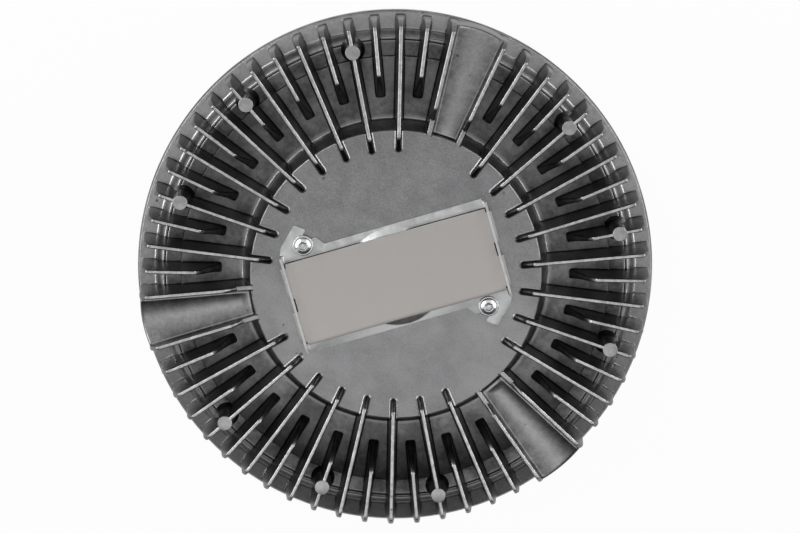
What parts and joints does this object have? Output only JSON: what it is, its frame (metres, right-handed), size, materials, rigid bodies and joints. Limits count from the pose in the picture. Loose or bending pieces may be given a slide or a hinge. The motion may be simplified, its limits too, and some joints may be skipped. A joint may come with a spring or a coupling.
{
  "type": "viscous fan clutch",
  "caption": "Viscous fan clutch with a round finned cast housing on a flanged shaft, and a bimetal strip in a stamped bracket on its front that works the fluid valve.",
  "frame": {"origin": "centre of the rear face of the shaft flange, which the part rests on", "axes": "+Z along the turning axis, toward the finned front cover; +Y through the middle of one of the three hollow pads"},
  "size_m": [0.25, 0.25, 0.0885],
  "materials": {
    "cast_aluminium": "as-cast, fine grain, satin",
    "machined_aluminium": "turned",
    "machined_steel": "turned, lightly oiled",
    "bearing_steel": "ground",
    "bearing_brass": "plain",
    "spring_steel": "oiled dark",
    "zinc_sheet": "bright zinc plate on rolled sheet",
    "zinc_fasteners": "bright zinc plate",
    "bimetal": "matte rolled sheet, warm grey",
    "seal_rubber": "matte",
    "wiper_plastic": "moulded"
  },
  "bodies": {
    "shaft": {"input_shaft": "machined_steel", "clutch_rotor": "machined_aluminium", "rotor_snap_ring": "spring_steel", "bearing_inner_race": "bearing_steel"},
    "housing": {"front_cover": "cast_aluminium", "rear_housing": "cast_aluminium", "cover_seal": "seal_rubber", "cover_bolts": "zinc_fasteners", "bearing_outer_race": "bearing_steel", "bearing_shield_front": "seal_rubber", "bearing_shield_rear": "seal_rubber", "bearing_circlip": "spring_steel", "separator_plate": "zinc_sheet", "separator_screws": "zinc_fasteners", "valve_hinge_pin": "bearing_steel", "pin_bush": "bearing_brass", "pin_seal": "seal_rubber", "pump_wiper": "wiper_plastic", "bimetal_bracket": "zinc_sheet", "bimetal_strip": "bimetal", "bracket_screws": "zinc_fasteners"},
    "bearing_set": {"bearing_cage": "bearing_brass", "bearing_balls": "bearing_steel"},
    "pin": {"control_pin": "bearing_steel"},
    "valve": {"valve_arm": "spring_steel"}
  },
  "joints": [
    {"name": "housing_spin", "type": "hinge", "parent": "shaft", "child": "housing", "pos_m": [0, 0, 0.026], "axis": [0, 0, 1], "continuous": true},
    {"name": "bearing_set_spin", "type": "hinge", "parent": "shaft", "child": "bearing_set", "pos_m": [0, 0, 0.026], "axis": [0, 0, 1], "continuous": true},
    {"name": "pin_slide", "type": "slide", "parent": "housing", "child": "pin", "axis": [0, 0, 1], "range_m": [0, 0.0012], "deforming": ["bimetal_strip"]},
    {"name": "valve_pivot", "type": "hinge", "parent": "housing", "child": "valve", "pos_m": [-0.032, 0, 0.05945], "axis": [0, -1, 0], "range_deg": [0, 2.2]}
  ],
  "couplings": [
    {"joint": "bearing_set_spin", "follows": "housing_spin", "ratio": 0.6035},
    {"joint": "valve_pivot", "follows": "pin_slide", "rad_per_m": 31.25}
  ]
}
